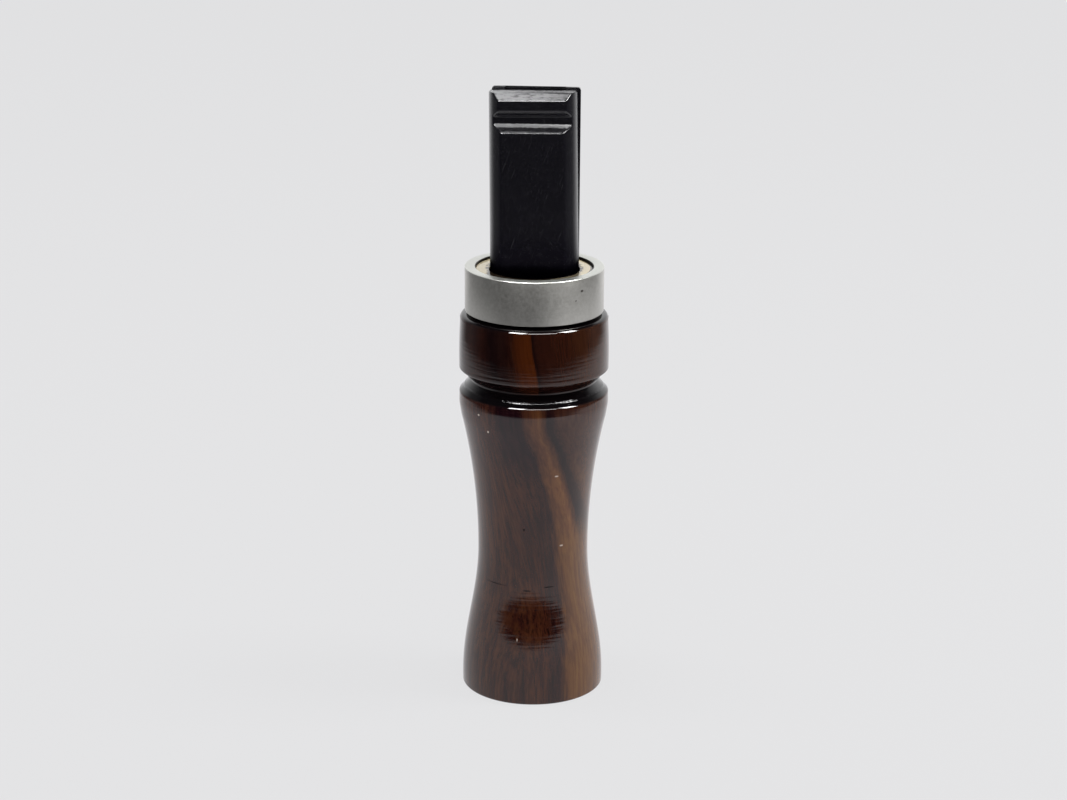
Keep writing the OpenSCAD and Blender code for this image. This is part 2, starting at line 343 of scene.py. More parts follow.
def soft_box(name, middle, wide, deep, glow, gloss_only=False):
    """An area lamp of the given radiance that faces the call."""
    lamp = bpy.data.lights.new(name, "AREA")
    lamp.shape, lamp.size, lamp.size_y = "RECTANGLE", wide, deep
    lamp.energy = glow * math.pi * wide * deep
    holder = bpy.data.objects.new(name, lamp)
    holder.location = middle
    holder.rotation_euler = (CALL_MIDDLE - Vector(middle)).to_track_quat("-Z", "Y").to_euler()
    bpy.context.scene.collection.objects.link(holder)
    holder.visible_camera = False
    holder.visible_diffuse = not gloss_only
    holder.visible_glossy = gloss_only
    return holder


lamps = [
    soft_box("soft_left", (-0.17, 0.02, 0.80), 0.10, 0.26, 12),
    soft_box("soft_right", (0.46, 0.02, 0.78), 0.24, 0.26, 12),
    soft_box("shine_left", (-0.31, -0.58, 0.72), 0.32, 0.42, 38, gloss_only=True),
    soft_box("shine_right", (0.65, -0.29, 0.67), 0.32, 0.42, 38, gloss_only=True),
    soft_box("shine_front", (0.10, -0.62, 0.56), 0.80, 0.14, 20, gloss_only=True),
]
print("lamps:", [(l.name, round(l.data.energy, 2)) for l in lamps])

# %% [markdown]
# ## Pieces
#
# A piece is built in millimetres with bmesh and handed over in metres, with its object at the origin.
# Round pieces are turned, as on a lathe: an outline of radius and height is spun about the upright axis.

# %% Helpers that make pieces
MERGE, SHARP = 0.0005, math.radians(32)


def finish_piece(name, bm, material, body, node):
    """Scales the mesh to metres, smooths it between sharp edges, and rides it on its body."""
    bmesh.ops.remove_doubles(bm, verts=bm.verts, dist=MERGE)
    bmesh.ops.recalc_face_normals(bm, faces=bm.faces)
    bmesh.ops.scale(bm, vec=(MM, MM, MM), verts=bm.verts)
    piece = as_object(name, bm, material)
    piece.data.shade_smooth()
    piece.data.set_sharp_from_angle(angle=SHARP)
    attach(piece, body)
    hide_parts(node)
    low, high = ([round(v / MM, 2) for v in piece.bound_box[corner]] for corner in (0, 6))
    print(name, "faces", len(piece.data.polygons), "from", low, "to", high)


def arc(radius, height, size, start, end, steps=8):
    """Points of a rounding about a middle at the given radius and height, from angle start to end."""
    turns = [math.radians(start + (end - start) * i / steps) for i in range(steps + 1)]
    return [(radius + size * math.cos(t), height + size * math.sin(t)) for t in turns]


def s_curve(start, end, steps):
    """Points that leave start and reach end upright, along an S."""
    shares = [i / steps for i in range(steps + 1)]
    return [(start[0] + (end[0] - start[0]) * (1 - math.cos(math.pi * s)) / 2,
             start[1] + (end[1] - start[1]) * s) for s in shares]


def turned(outline, steps=160):
    """Spins a closed outline of (radius, height) about the upright axis."""
    bm = bmesh.new()
    points = [bm.verts.new((radius, 0, height)) for radius, height in outline]
    edges = [bm.edges.new((a, b)) for a, b in zip(points, points[1:] + points[:1])]
    bmesh.ops.spin(bm, geom=points + edges, cent=(0, 0, 0), axis=(0, 0, 1), dvec=(0, 0, 0),
                   angle=2 * math.pi, steps=steps, use_merge=True, use_duplicate=False)
    return bm


print("piece helpers ready")

# %% [markdown]
# ## Lacquered rosewood
#
# The barrel is a dark, streaky rosewood under a thick gloss lacquer. The grain runs up the barrel and
# leans to the right towards the foot, with one tan stripe that follows it. A wood pattern could be a
# Wave texture, but real streaks are uneven, so noise is stretched along the grain. The lacquer is the
# shader's coat: clear, smooth and a little rippled by the turning.

# %% The stripe and its colours
# Height on the barrel, and how far the stripe has leaned to the right there.
GRAIN_LEAN = [(0, 10.4), (15, 10.2), (28, 9.2), (42.6, 6.7), (52.5, 4.5), (58.5, 2.8), (64, 1.0), (67, 0.8),
              (71, 0.5), (74, 0.0), (83, -1.5), (95, -2.0)]
CURVE_TALL, CURVE_LEFT, CURVE_WIDE = 100.0, 4.0, 20.0

# Place across the stripe, and the wood's colour there.
FOOT_WOOD = [(-20, (0.044, 0.0145, 0.0092)), (-9, (0.047, 0.0128, 0.0066)), (-6.2, (0.044, 0.0112, 0.0062)),
             (-5.2, (0.025, 0.0066, 0.0054)), (-3.4, (0.029, 0.0074, 0.0058)), (-2.2, (0.096, 0.0340, 0.0120)),
             (0, (0.145, 0.0590, 0.0200)), (12, (0.130, 0.0520, 0.0220))]
HOLLOW_WOOD = [(-20, (0.048, 0.0160, 0.0110)), (-9.5, (0.050, 0.0145, 0.0085)),
               (-7.0, (0.042, 0.0115, 0.0075)), (-2.6, (0.026, 0.0072, 0.0066)),
               (-1.6, (0.086, 0.0300, 0.0130)), (1.5, (0.150, 0.0560, 0.0205)), (2.3, (0.070, 0.0240, 0.0120)),
               (3.0, (0.018, 0.0060, 0.0062)), (4.2, (0.024, 0.0080, 0.0070)), (5.6, (0.080, 0.0300, 0.0150)),
               (12, (0.086, 0.0330, 0.0170))]
BULGE_WOOD = [(-20, (0.050, 0.0170, 0.0130)), (-9.5, (0.044, 0.0130, 0.0100)), (-7.0, (0.017, 0.0042, 0.0070)),
              (-2.9, (0.014, 0.0036, 0.0064)), (-1.0, (0.074, 0.0250, 0.0140)), (0.9, (0.116, 0.0440, 0.0195)),
              (2.3, (0.056, 0.0185, 0.0105)), (3.2, (0.012, 0.0045, 0.0060)), (3.9, (0.015, 0.0055, 0.0070)),
              (5.2, (0.044, 0.0150, 0.0110)), (12, (0.054, 0.0190, 0.0130))]
COLLAR_WOOD = [(-20, (0.024, 0.0076, 0.0056)), (-10, (0.018, 0.0055, 0.0046)), (-8.0, (0.008, 0.0030, 0.0034)),
               (-4.5, (0.014, 0.0042, 0.0036)), (-3.0, (0.024, 0.0062, 0.0036)),
               (-1.2, (0.054, 0.0115, 0.0030)), (1.1, (0.062, 0.0135, 0.0030)), (1.8, (0.010, 0.0030, 0.0030)),
               (3.0, (0.024, 0.0062, 0.0040)), (9.0, (0.030, 0.0078, 0.0042)), (12, (0.042, 0.0130, 0.0060))]
WOOD_LEFT, WOOD_WIDE = 20.0, 32.0

# Each wood, and the heights between which it takes over from the one below.
WOODS_ABOVE = [(HOLLOW_WOOD, 33.0, 43.0), (BULGE_WOOD, 49.0, 59.0), (COLLAR_WOOD, 66.0, 71.0)]


def grain_lean(tree, z):
    """How far the grain has leaned across at each height, in millimetres."""
    node = add(tree, "FloatCurve", {"Value": ratio(tree, z, CURVE_TALL)})
    curve = node.mapping.curves[0]
    places = [(height / CURVE_TALL, (shift + CURVE_LEFT) / CURVE_WIDE) for height, shift in GRAIN_LEAN]
    curve.points[0].location, curve.points[1].location = places[0], places[-1]
    for place in places[1:-1]:
        curve.points.new(*place)
    node.mapping.update()
    return minus(tree, times(tree, node.outputs[0], CURVE_WIDE), CURVE_LEFT)


def figure(tree, across, colours):
    """The wood's colours side by side across the grain."""
    node = add(tree, "ValToRGB", {0: ratio(tree, plus(tree, across, WOOD_LEFT), WOOD_WIDE)})
    ramp = node.color_ramp
    while len(ramp.elements) < len(colours):
        ramp.elements.new(0.5)
    for element, (place, colour) in zip(ramp.elements, colours):
        element.position, element.color = (place + WOOD_LEFT) / WOOD_WIDE, (*colour, 1)
    return node.outputs[0]


print("colours across the stripe:", [len(w) for w in (FOOT_WOOD, HOLLOW_WOOD, BULGE_WOOD, COLLAR_WOOD)])

# %% The streaks of the rosewood
LIGHT_STREAK, DARK_STREAK, PORE = (1.45, 1.60, 1.25), (0.62, 0.52, 0.66), (0.25, 0.25, 0.3)


def streaky_wood(tree, x, y, z):
    """The figure of the wood, with streaks and pores drawn out along its leaning grain."""
    lean = times(tree, grain_lean(tree, z), span(tree, x, -12.0, 2.0, 0.35, 1.0))
    level = minus(tree, x, lean)
    sway = swing(tree, drawn(tree, level, y, z, 5.0, 0.25, 1.0), 1.2)
    fray = swing(tree, drawn(tree, level, y, z, 0.5, 0.06), 1.0)
    across = plus(tree, level, plus(tree, sway, fray))
    colour = figure(tree, across, FOOT_WOOD)
    for wood, low, high in WOODS_ABOVE:
        colour = tint(tree, span(tree, z, low, high), colour, figure(tree, across, wood))
    strength = times(tree, span(tree, z, 66.0, 71.0, 1.0, 0.6), span(tree, across, -3.0, -1.5, 1.0, 0.45))
    streaks = span(tree, drawn(tree, level, y, z, 0.8, 0.06, 4.0, 0.65), 0.36, 0.64)
    streaks = plus(tree, swing(tree, streaks, strength), 0.5)
    pores = span(tree, drawn(tree, level, y, z, 0.30, 0.04, 2.0), 0.50, 0.66)
    darker = tint(tree, streaks, LIGHT_STREAK, DARK_STREAK)
    darker = tint(tree, times(tree, pores, strength, 0.55), darker, PORE)
    return add(tree, "Mix", {0: 1.0, 6: colour, 7: darker}, data_type="RGBA",
               blend_type="MULTIPLY").outputs[2]


print("streak colours:", LIGHT_STREAK, DARK_STREAK, "pores:", PORE)

# %% Marks in the lacquer, and the end of the wood with glue and painted shade
# Small marks on the front: place across, height, half width and half height.
LIGHT_MARKS = [(-11.17, 65.48, 0.22, 0.22), (-9.09, 61.98, 0.18, 0.30), (5.67, 52.23, 0.40, 0.16),
               (6.72, 35.61, 0.36, 0.18), (-2.63, 14.75, 0.12, 0.35)]
DARK_MARKS = [(-7.4, 26.35, 2.6, 0.09), (-0.6, 25.68, 1.0, 0.14), (4.1, 26.43, 1.2, 0.12),
              (-1.31, 39.74, 0.25, 0.25)]
END_GRAIN, GLUE_AND_SHADE = ((0.74, 0.60, 0.36), (0.96, 0.86, 0.60)), (0.030, 0.022, 0.014)


def spots(tree, x, y, z, places):
    """One at small marks on the front, and zero around them."""
    marks = []
    for across, height, wide, tall in places:
        sideways = square(tree, ratio(tree, minus(tree, x, across), wide))
        upright = square(tree, ratio(tree, minus(tree, z, height), tall))
        marks.append(span(tree, plus(tree, sideways, upright), 0.4, 1.3, 1.0, 0.0))
    return times(tree, most(tree, *marks), on_front(tree, y))


def end_grain_glue_and_shade(tree, where, x, y):
    """Pale end grain round the socket, dark in glue blots at its mouth, with painted shade in front of the
    blade and along the band on the right.
    """
    grain = tint(tree, cloud(tree, where, 0.35, 3.0), *END_GRAIN)
    from_axis = axis_distance(tree, x, y)
    # Painted shade: the end grain in front of the blade, down behind the band's rim, is painted dark, which
    # also keeps the blade from mirroring pale wood.
    front = times(tree, span(tree, off_middle(tree, x), 9.5, 10.3, 1.0, 0.0), on_front(tree, y),
                  span(tree, x, 3.5, 5.0, 1.0, 0.8))
    blots = times(tree, span(tree, from_axis, 10.2, 10.8, 1.0, 0.0),
                  span(tree, cloud(tree, where, 0.9), 0.36, 0.5))
    # Painted shade: a dark ring along the inside of the band on the right.
    rim = times(tree, span(tree, from_axis, 11.9, 12.2), span(tree, x, 4.0, 6.0))
    return tint(tree, most(tree, front, blots, rim), grain, GLUE_AND_SHADE)


print("marks:", len(LIGHT_MARKS), "light and", len(DARK_MARKS), "dark")

# %% Lacquer over the rosewood
# Heights between which one place passes into the next.
GROOVE, GROOVE_WALL, GROOVE_RIM = (68.0, 68.5), (70.6, 71.0), (72.6, 73.4)
SLOPE, WOOD_TOP = (84.7, 85.1), (94.55, 94.65)
DENT, SPECK, UNLIT_WOOD = (0.005, 0.0035, 0.004), (0.55, 0.46, 0.40), (0.0035, 0.0022, 0.0028)


def unlit_places(tree, z):
    """The lanyard groove, its upper wall and the sloped shoulder, which look nearly black."""
    floor_of_groove = times(tree, span(tree, z, *GROOVE), span(tree, z, *GROOVE_WALL, 1.0, 0.0))
    upper_wall = times(tree, span(tree, z, *GROOVE_WALL), span(tree, z, *GROOVE_RIM, 0.6, 0.0))
    return most(tree, floor_of_groove, upper_wall, span(tree, z, *SLOPE))


def ripples(tree, where, x, y, z):
    """Rings from the turning, knocks on the ridge of the groove, and the skin of the lacquer."""
    rings = cloud(tree, join(tree, times(tree, x, 0.03), times(tree, y, 0.03), z), 0.5, 3.0)
    low_on_collar = times(tree, span(tree, z, 72.5, 74.0), span(tree, z, 77.0, 83.0, 1.0, 0.0))
    rings = times(tree, rings, plus(tree, times(tree, low_on_collar, 1.5), 1.0))
    ridge = times(tree, span(tree, z, 69.10, 69.20, 0.0, 7.0), span(tree, z, 69.45, 69.55, 1.0, 0.0))
    knocks = times(tree, cloud(tree, where, 0.4, 2.0), ridge)
    skin = cloud(tree, where, 2.0, 2.0)
    return plus(tree, rings, knocks, times(tree, skin, 0.8))


def lacquered_wood():
    finish, tree, shader = new_finish("lacquered_rosewood")
    where = place_mm(tree)
    x, y, z = apart(tree, where)
    dents = spots(tree, x, y, z, DARK_MARKS)
    colour = tint(tree, dents, streaky_wood(tree, x, y, z), DENT)
    colour = tint(tree, spots(tree, x, y, z, LIGHT_MARKS), colour, SPECK)
    colour = tint(tree, unlit_places(tree, z), colour, UNLIT_WOOD)
    feed(tree, shader, {
        "Base Color": tint(tree, span(tree, z, *WOOD_TOP), colour, end_grain_glue_and_shade(tree, where, x, y)),
        "Roughness": 0.6,
        "Specular IOR Level": 0.0,
        "Coat Weight": minus(tree, 1.0, times(tree, dents, 0.8)),
        "Coat Roughness": 0.03,
        "Coat IOR": 1.5,
        "Coat Normal": relief(tree, ripples(tree, where, x, y, z), 0.010),
    })
    return finish


rosewood = lacquered_wood()
print("rosewood nodes:", len(rosewood.node_tree.nodes))

# %% [markdown]
# ## The barrel
#
# On the lathe the wood was given a foot, a waist, a long hollow, a bulge, a lanyard groove and a collar
# with a sloped shoulder, then a tenon for the band. It could be stacked from rings, but one outline is
# enough for all of it, inside and out, and the lathe's own motion, a spin, makes the solid.

# %% The outside of the barrel
FOOT_R, FOOT_ROUND, FOOT_RIM_Z = 15.62, 0.5, 2.0
WAIST_R, WAIST_Z, BULGE_R, BULGE_Z = 12.17, 32.0, 15.87, 62.9
HOLLOW_R = ((BULGE_Z - WAIST_Z) ** 2 + (BULGE_R - WAIST_R) ** 2) / (2 * (BULGE_R - WAIST_R))
BULGE = [(16.02, 63.8), (16.14, 64.6), (16.24, 65.3), (16.288, 65.9), (16.278, 66.5), (16.262, 67.0),
         (16.24, 67.5)]
RIDGE = [(15.15, 69.265), (15.05, 69.39), (14.92, 69.5)]
GROOVE_FLOOR = [(13.78, 70.68), (13.78, 70.98)]
COLLAR_R, COLLAR_TAPER, COLLAR_SWELL, COLLAR_Z, COLLAR_TALL = 16.29, 0.25, 0.40, 74.0, 10.5
SHOULDER, TENON_R = 86.0, 12.7

# Roundings: radius and height of the middle, size, and the two angles it runs between.
BEAD = (15.43, 67.83, 0.8, 5, 44)
COLLAR_FOOT = (15.80, 73.58, 0.5, -48, -5)
COLLAR_TOP = (15.0, 84.32, 1.03, 6, 72)


def hollow_at(rise):
    """A point of the long hollow, which is one large arc."""
    return WAIST_R + HOLLOW_R - math.sqrt(HOLLOW_R ** 2 - rise ** 2), WAIST_Z + rise


def collar_at(share):
    """A point of the collar, which tapers a little and swells in its middle."""
    swell = COLLAR_SWELL * share * (1 - share)
    return COLLAR_R - COLLAR_TAPER * share + swell, COLLAR_Z + COLLAR_TALL * share


outside = (
    arc(FOOT_R - FOOT_ROUND, FOOT_ROUND, FOOT_ROUND, -90, 0)
    + s_curve((FOOT_R, FOOT_RIM_Z), (WAIST_R, WAIST_Z), 44)
    + [hollow_at((BULGE_Z - WAIST_Z) * step / 40) for step in range(1, 41)]
    + BULGE
    + arc(*BEAD)
    + RIDGE
    + GROOVE_FLOOR
    + arc(*COLLAR_FOOT)
    + [collar_at(step / 16) for step in range(17)]
    + arc(*COLLAR_TOP)
    + [(14.9, 85.38), (TENON_R + 0.1, SHOULDER - 0.05), (TENON_R, SHOULDER + 0.1)])
print("points outside:", len(outside), "widest", round(max(outside)[0], 2))

# %% Turn the barrel
WOOD_END, TENON_ROUND, MOUTH_ROUND = 95.15, 0.3, 0.5
SOCKET_R, SOCKET_Z, BORE_R, BELL_R, BELL_Z, BELL_ROUND = 9.595, 70.7, 7.0, 10.5, 14.0, 0.15

bell_turns = [math.pi / 2 * step / 10 for step in range(10, -1, -1)]
bell = [(BELL_R - (BELL_R - BORE_R) * math.sin(t), BELL_Z * (1 - math.cos(t))) for t in bell_turns]
inside = (
    arc(TENON_R - TENON_ROUND, WOOD_END - TENON_ROUND, TENON_ROUND, 0, 90, 4)
    + arc(SOCKET_R + MOUTH_ROUND, WOOD_END - MOUTH_ROUND, MOUTH_ROUND, 90, 180, 6)
    + [(SOCKET_R, SOCKET_Z), (BORE_R, SOCKET_Z)]
    + bell
    + [(BELL_R + BELL_ROUND, 0.0)])
finish_piece("barrel_turned", turned(outside + inside), rosewood, "barrel", "barrel")

# %% [markdown]
# ## The band
#
# A ring of aluminium keeps the tenon from splitting. It was blasted with fine beads, so its skin is a
# fine even grit that blurs what it mirrors, and its edges were just broken. Roughness alone would blur
# it too, but would look like paint, so a shallow bump of fine noise stands for the grit.

# %% Satin metal
BAND_R, BAND_TOP, BAND_IN = 15.0, 95.65, 12.73
BAND_SPECKS = [(10.61, 92.95, 0.28, 0.28), (9.41, 91.04, 0.16, 0.16)]
BLASTED, LIT_TOP_FACE = ((0.54, 0.53, 0.495), (0.63, 0.62, 0.585)), (0.70, 0.71, 0.665)
SHADE_LOW_ON_BAND, SHADED, PITTED, GLUE_AND_SHADE_LINE = (0.1, 0.1, 0.1), (0.0, 0.0, 0.0), (0.12, 0.11, 0.10), (0.018, 0.014, 0.010)


def satin_metal():
    finish, tree, shader = new_finish("satin_aluminium")
    where = place_mm(tree)
    x, y, z = apart(tree, where)
    patches = cloud(tree, where, 0.7, 5.0, 0.75)
    colour = tint(tree, span(tree, patches, 0.3, 0.7), *BLASTED)
    # Painted shade: the band is darkened towards its foot.
    colour = tint(tree, span(tree, z, SHOULDER, SHOULDER + 8.0, 0.30, 0.05), colour, SHADE_LOW_ON_BAND)
    middle = span(tree, off_middle(tree, plus(tree, x, 2.5)), 2.0, 11.0, 0.48, 1.0)
    shade = times(tree, most(tree, middle, on_back(tree, y)), span(tree, x, 7.0, 14.0, 1.0, 1.62))
    colour = tint(tree, shade, SHADED, colour)
    # Painted highlight: the band's top face is made lighter than its side.
    colour = tint(tree, span(tree, z, BAND_TOP - 0.25, BAND_TOP - 0.15), colour, LIT_TOP_FACE)
    colour = tint(tree, spots(tree, x, y, z, BAND_SPECKS), colour, PITTED)
    # Glue and painted shade: the inside wall of the band is darkened.
    glue_and_shade = span(tree, axis_distance(tree, x, y), BAND_IN + 0.02, BAND_IN + 0.12, 1.0, 0.0)
    feed(tree, shader, {
        "Base Color": tint(tree, glue_and_shade, colour, GLUE_AND_SHADE_LINE),
        "Roughness": span(tree, patches, 0.2, 0.8, 0.34, 0.41),
        "Metallic": 1.0,
        "Normal": relief(tree, cloud(tree, where, 0.10, 2.0, 0.6), 0.005),
    })
    return finish


satin = satin_metal()
print("satin metal nodes:", len(satin.node_tree.nodes))

# %% Turn the band
LOW_ROUND, TOP_ROUND, TOP_INSIDE_ROUND, LOW_INSIDE_ROUND = 0.22, 0.14, 0.2, 0.1

band_outline = (
    arc(BAND_R - LOW_ROUND, SHOULDER + LOW_ROUND, LOW_ROUND, -90, 0, 4)
    + arc(BAND_R - TOP_ROUND, BAND_TOP - TOP_ROUND, TOP_ROUND, 0, 90, 4)
    + arc(BAND_IN + TOP_INSIDE_ROUND, BAND_TOP - TOP_INSIDE_ROUND, TOP_INSIDE_ROUND, 90, 180, 5)
    + arc(BAND_IN + LOW_INSIDE_ROUND, SHOULDER + LOW_INSIDE_ROUND, LOW_INSIDE_ROUND, 180, 270, 3))
finish_piece("band_turned", turned(band_outline), satin, "barrel", "band")

# %% [markdown]
# ## Black plastic of the mouthpiece
#
# The halves are moulded in black plastic. Biting has worn the bevelled tip and the ledge to a duller,
# greyer skin, and being carried about has left fine scratches and dust on the flat. That grey is also a
# painted highlight for the light the bevel and the ledge catch from above, lighter on the left, and the
# foot of the blade is painted blacker as shade inside the band. The scratches are noise drawn out along
# two leaning directions. The worn places could be drawn as a texture, but they simply follow the height
# here, since they run right across.

# %% Scratches and worn places
FLAT_Y, LAND_Y, DIP_Y, STEM_R = 6.8, 6.15, 4.6, 9.525
FRONT_TOP, BLADE_Z, STEM_END = 133.76, 94.1, 72.2
FRONT_LEAN, REAR_LEAN, SIDE_DRAFT = math.tan(math.radians(0.65)), math.tan(math.radians(0.25)), 0.13

# Each bar of wear and painted highlight runs right across: its lowest and highest point, and how strong it is.
WEAR_AND_SHEEN_BARS = [(132.42, 140.0, 1.0), (126.62, 127.22, 2.45), (125.62, 125.98, 0.3), (125.9, 126.7, 0.06)]
BAR_SOFT = 0.08


def scratches(tree, x, y, z, lean, size, low, high):
    """Fine straight scratches that lean the same way."""
    over = minus(tree, x, times(tree, z, lean))
    along = plus(tree, z, times(tree, x, lean))
    return span(tree, drawn(tree, over, times(tree, y, 0.4), along, size, 0.04, 2.0, 0.6), low, high)


def clear_of_sides(tree, x, y, z):
    """1 on the face of a half, and 0 at its rounded sides and its joint, whichever way it leans."""
    lean = tint(tree, on_back(tree, y), (FRONT_LEAN,) * 3, (-REAR_LEAN,) * 3)
    level_x = plus(tree, x, times(tree, minus(tree, z, BLADE_Z), lean))
    face = span(tree, axis_distance(tree, level_x, y), STEM_R - 0.5, STEM_R - 0.25, 1.0, 0.0)
    return times(tree, face, span(tree, off_middle(tree, y), 0.8, 1.1))


def wear_and_sheen_places(tree, x, y, z, bumps):
    """The bevel and bars of wear and painted highlight, patchy, wavy along their edges and stronger on the
    left.
    """
    wavy = plus(tree, z, swing(tree, bumps, 0.5))
    bars = [times(tree, span(tree, wavy, low - BAR_SOFT, low + BAR_SOFT),
                  span(tree, wavy, high - BAR_SOFT, high + BAR_SOFT, 1.0, 0.0), strength)
            for low, high, strength in WEAR_AND_SHEEN_BARS]
    patches = cloud(tree, join(tree, times(tree, x, 0.4), y, times(tree, z, 1.8)), 0.8, 4.0, 0.75)
    patchy = times(tree, span(tree, patches, 0.34, 0.62, 0.35, 1.25),
                   span(tree, z, FRONT_TOP - 0.1, FRONT_TOP - 0.02, 1.0, 0.36))
    return times(tree, most(tree, *bars), clear_of_sides(tree, x, y, z), patchy,
                 span(tree, x, -8.0, 8.0, 1.25, 0.62))


print("worn bars:", len(WEAR_AND_SHEEN_BARS))

# %% Worn black plastic
PLASTIC, BLACK_IN_BAND_SHADE = ((0.0038, 0.0033, 0.0066), (0.0057, 0.0050, 0.0088)), (0.0006, 0.0005, 0.0012)
SCUFFED, SCRATCHED, WEAR_AND_SHEEN_GREY = (0.022, 0.021, 0.025), (0.030, 0.029, 0.032), (0.35, 0.35, 0.355)


def black_plastic():
    finish, tree, shader = new_finish("worn_black_plastic")
    where = place_mm(tree)
    x, y, z = apart(tree, where)
    fine = most(tree, scratches(tree, x, y, z, 0.35, 0.22, 0.66, 0.74),
                scratches(tree, x, y, z, -0.9, 0.30, 0.68, 0.76))
    bumps = cloud(tree, where, 0.45, 4.0, 0.65)
    dust = span(tree, cloud(tree, where, 0.30, 1.0), 0.68, 0.74)
    scuffs = times(tree, span(tree, cloud(tree, where, 1.6, 5.0, 0.75), 0.50, 0.72), 0.35)
    # Painted highlight, with wear: the grey bevel and ledge bars stand for the light they catch from above.
    wear_and_sheen = wear_and_sheen_places(tree, x, y, z, bumps)
    colour = tint(tree, cloud(tree, where, 4.0), *PLASTIC)
    colour = tint(tree, most(tree, scuffs, times(tree, dust, 0.9)), colour, SCUFFED)
    colour = tint(tree, times(tree, fine, 0.8), colour, SCRATCHED)
    # Painted shade: the foot of the blade, down in the band, is made blacker.
    colour = tint(tree, span(tree, z, 95.4, 98.6, 1.0, 0.0), colour, BLACK_IN_BAND_SHADE)
    # Close to the band the skin is rougher and mirrors less, or it would show the pale end grain.
    rough = plus(tree, span(tree, bumps, 0.3, 0.7, 0.18, 0.26), times(tree, wear_and_sheen, 0.25),
                 span(tree, z, 94.0, 99.5, 0.10, 0.0))
    feed(tree, shader, {
        "Base Color": tint(tree, wear_and_sheen, colour, WEAR_AND_SHEEN_GREY),
        "Roughness": rough,
        "IOR": 1.52,
        "Specular IOR Level": span(tree, z, 96.5, 107.0, 0.0, 0.5),
        "Normal": relief(tree, plus(tree, times(tree, fine, 0.4), bumps), 0.006),
    })
    return finish


plastic = black_plastic()
print("plastic nodes:", len(plastic.node_tree.nodes))

# %% [markdown]
# ## The two halves of the mouthpiece
#
# Each half is half a round stem that becomes a blade with one flat, and it is open inside for the reed
# and for the breath. It could be carved with booleans. A loft is cleaner: one cross section is drawn as
# a face, and it is pushed up the stem from station to station, where its points move to the section of
# that height. The list of stations is the side view of the piece, with its grooves, flat, ledge and tip.

# %% The room inside a half
REED_ROOM, PAD_Y, PAD_TOP, LAY_FALL = 6.4, 0.21, 76.8, 0.52
TROUGH_HALF, TROUGH_Y, TROUGH_Z, TROUGH_FALL = 4.0, 4.2, 9.0, 13.0
JOINT_Y = 0.02
TROUGH_PLACES = (-4.02, -3.98, -3.8, -3.4, -2.7, -1.8, -0.9, 0)


def lay_y(z):
    """Distance from the joint to the lay, which falls away from the reed towards the tip."""
    return PAD_Y + LAY_FALL * max(0.0, z - PAD_TOP) / (FRONT_TOP - PAD_TOP)


def trough_y(x, z):
    """Distance from the joint to the floor of the breath trough, or to the lay beside it."""
    share = (FRONT_TOP - TROUGH_Z - z) / TROUGH_FALL
    depth = TROUGH_Y * (1 - math.cos(math.pi * min(1.0, max(0.0, share)))) / 2
    rim = TROUGH_Y - TROUGH_HALF
    return max(lay_y(z), min(depth, rim + math.sqrt(max(0.0, TROUGH_HALF ** 2 - x * x))))


def inside_points(z):
    """Points inside one half, from left to right."""
    left = [(-REED_ROOM, JOINT_Y), (-REED_ROOM, lay_y(z))] + [(x, trough_y(x, z)) for x in TROUGH_PLACES]
    return left + [(-x, y) for x, y in reversed(left[:-1])]


print("trough at the foot of the stem:", round(trough_y(0, STEM_END), 2), "deep")

# %% The section of a half at one height
EDGE_Y, EDGE_CUT, THIN_EDGE_CUT = 0.17, 0.15, 0.1
CORNER_TURN, CORNER_WIDE = 0.045, 0.35


def rounded_corner(start, peak, end, steps=5):
    """Points that leave start for peak and bend over to end."""
    shares = [step / steps for step in range(1, steps + 1)]
    return [tuple((1 - t) ** 2 * a + 2 * t * (1 - t) * b + t * t * c for a, b, c in zip(start, peak, end))
            for t in shares]


def outside_points(radius, flat, width, round_share):
    """Points outside one half, from right to left: edge, round side, corner and flat."""
    edge, corner = math.asin(EDGE_Y / radius), math.asin(min(0.999, flat / radius))
    turns = [edge + (corner - CORNER_TURN - edge) * step / 14 for step in range(15)]
    points = [(radius * math.cos(turn), radius * math.sin(turn)) for turn in turns]
    peak = (radius * math.cos(corner), flat)
    end = (peak[0] - CORNER_WIDE, flat)
    points += rounded_corner(points[-1], peak, end)
    for step in range(1, 9):
        x = end[0] * (1 - step / 8)
        bow = math.sqrt(radius ** 2 - x ** 2)
        points.append((x, flat + (bow - flat) * round_share))
    points += [(-x, y) for x, y in reversed(points[:-1])]
    points = [(max(-width, min(width, x)), y) for x, y in points]
    edge_x = radius - EDGE_CUT if radius < width else width - THIN_EDGE_CUT
    return [(edge_x, JOINT_Y)] + points + [(-edge_x, JOINT_Y)]


def section(z, radius, flat, width, round_share, lean):
    """Points of one half, on the +Y side of the joint. The blade leans, and its insides stay upright."""
    shift = lean * max(0.0, z - BLADE_Z)
    tilt = lean if z >= BLADE_Z else 0.0
    leaned = [(x + shift, y, z - x * tilt) for x, y in outside_points(radius, flat, width, round_share)]
    return leaned + [(x, y, z) for x, y in inside_points(z)]


print("points in a section:", len(section(100, STEM_R, FLAT_Y, 9.6, 0, 0)))

# %% The side view of a half
STEM_ROUND = [(0, 0.6), (0.15, 0.38), (0.6, 0.04), (0.8, 0)]
RING_MIDDLES = {"upper_ring": 90.2, "lower_ring": 81.2}
RING_GROOVE_R, RING_GROOVE_HALF, GROOVE_CUT, STEP = 7.895, 0.85, 0.08, 0.001
LEDGE_LOW, DIP_LOW, DIP_TOP, LAND_LOW = 125.49, 127.25, 128.59, 130.4
TIP_ROUND, SIDE_ROOM = 0.7, 0.01
FLAT_HEIGHTS = range(98, 125, 3)
FRONT_TIP_Y, FRONT_BEVEL = 4.57, 132.35
REAR_RISE, REAR_TIP_Y, REAR_BEVEL = 0.559, 0.9, 131.72

